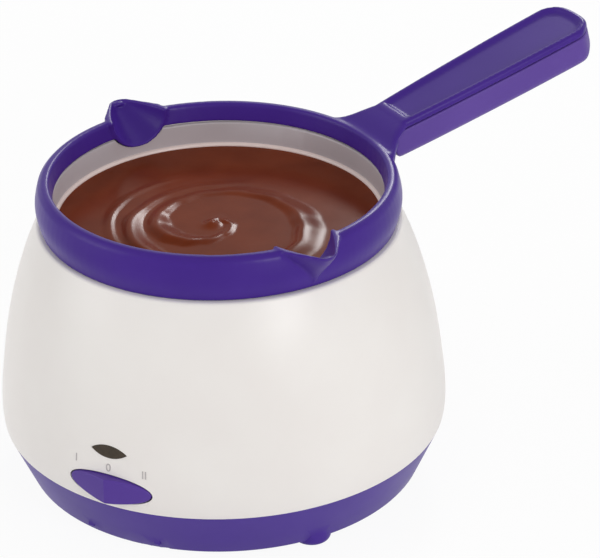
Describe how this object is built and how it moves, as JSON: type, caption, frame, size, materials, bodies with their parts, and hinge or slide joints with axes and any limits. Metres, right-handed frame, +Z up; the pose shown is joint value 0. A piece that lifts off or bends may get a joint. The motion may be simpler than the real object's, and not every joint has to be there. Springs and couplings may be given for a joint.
{
  "type": "candy melting pot",
  "caption": "Electric candy melting pot: a lift-out pan with a spouted ring and a straight handle, on a round heated base with a rocker switch and an indicator lens.",
  "frame": {"origin": "centre of the pot's axis in the plane of the foot pads", "axes": "+Z up along the pot's axis, -Y towards the rocker switch, the cord's bush at +Y, the handle rising in the direction 60 degrees from +X towards +Y"},
  "size_m": [0.175, 0.2332, 0.1467],
  "materials": {
    "purple_plastic": "smooth purple moulding",
    "zinc_steel": "zinc plated",
    "black_rubber": "matt",
    "lead_sleeve": "glass-fibre sleeve",
    "grey_rubber": "matt",
    "purple_gloss": "glossy purple moulding",
    "bare_aluminium": "bare, spun",
    "mica": "mica board",
    "white_plastic": "smooth off-white moulding",
    "lamp_glass": "clear neon lamp",
    "amber_lens": "dark clear brown, glossy",
    "dark_phenolic": "moulded, matt",
    "chocolate": "glossy melted milk chocolate",
    "silicone": "matt translucent white",
    "grey_aluminium": "satin non-stick grey",
    "brass": "bright",
    "block_plastic": "natural nylon"
  },
  "bodies": {
    "base": {"base_cover": "purple_plastic", "base_screws": "zinc_steel", "centre_stud": "zinc_steel", "clamp_screws": "zinc_steel", "cord_bush": "black_rubber", "element_clamp_plate": "zinc_steel", "element_leads": "lead_sleeve", "foot_pads": "grey_rubber", "fuse_clip": "zinc_steel", "heat_shield": "zinc_steel", "heat_well": "bare_aluminium", "heating_element": "mica", "housing_shell": "white_plastic", "indicator_lamp": "lamp_glass", "indicator_lens": "amber_lens", "lamp_holder": "dark_phenolic", "lamp_leads": "lead_sleeve", "stud_nuts": "zinc_steel", "supply_leads": "lead_sleeve", "support_bracket": "zinc_steel", "switch_body": "dark_phenolic", "switch_terminals": "brass", "terminal_block": "block_plastic", "terminal_screws": "brass", "thermal_fuse": "bare_aluminium", "thermostat": "dark_phenolic", "well_seal": "silicone"},
    "rocker": {"switch_rocker": "purple_gloss"},
    "pot": {"rim_ring": "purple_gloss", "handle_underside": "purple_gloss", "handle_screws": "zinc_steel", "pot_pan": "grey_aluminium", "pan_gasket": "silicone", "pan_retaining_clips": "purple_plastic", "melted_chocolate": "chocolate"}
  },
  "joints": [
    {"name": "pot_lift", "type": "slide", "parent": "base", "child": "pot", "axis": [0, 0, 1], "range_m": [0, 0.08]},
    {"name": "switch_rock", "type": "hinge", "parent": "base", "child": "rocker", "pos_m": [0, -0.08, 0.0308], "axis": [0, 0, 1], "range_deg": [-8, 8]}
  ]
}
